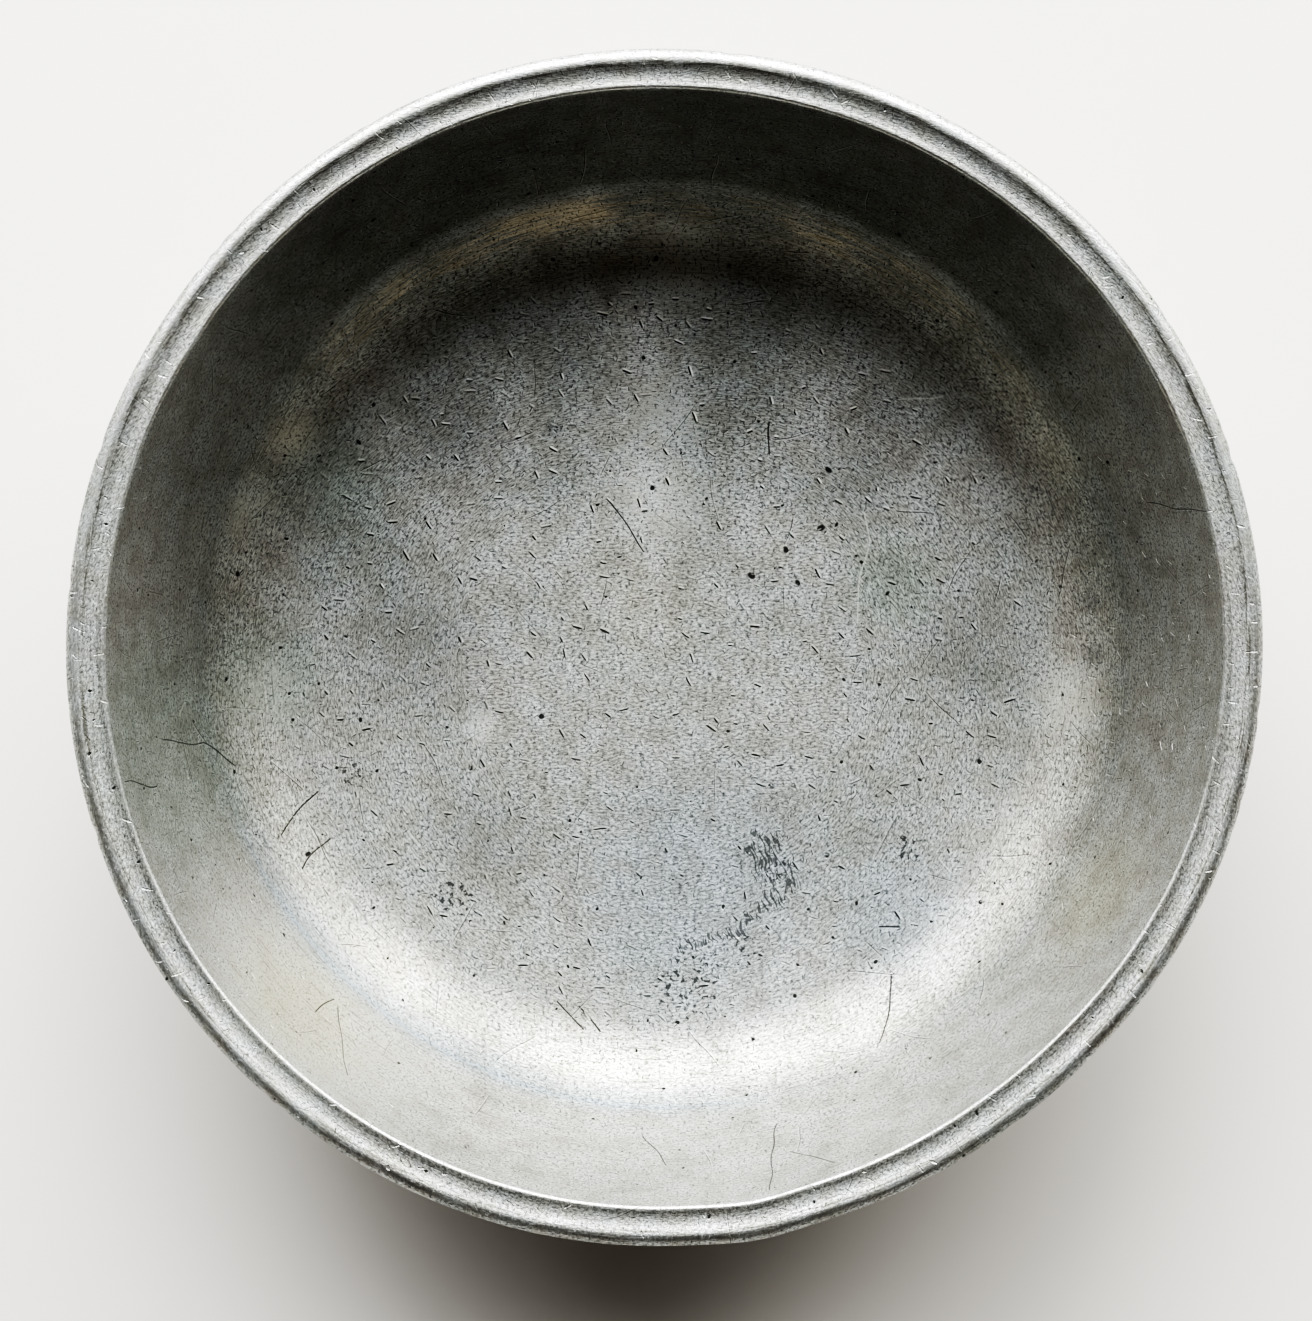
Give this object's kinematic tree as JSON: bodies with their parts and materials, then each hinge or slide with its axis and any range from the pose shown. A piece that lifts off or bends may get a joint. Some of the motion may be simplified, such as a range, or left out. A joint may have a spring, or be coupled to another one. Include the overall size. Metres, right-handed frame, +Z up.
{
  "type": "pewter basin",
  "caption": "Round pewter basin with a flat floor, rounded bouge, steep flaring side and a narrow turned brim with a single reed.",
  "frame": {"origin": "middle of the flat base, on the surface that the basin stands on", "axes": "+Z up along the basin's axis; +Y towards the top of the picture and +X towards its right"},
  "size_m": [0.2032, 0.2032, 0.0508],
  "materials": {
    "pewter": "bare old pewter, satin, with fine lathe marks and wear"
  },
  "bodies": {
    "root": {"basin": "pewter"}
  },
  "joints": []
}
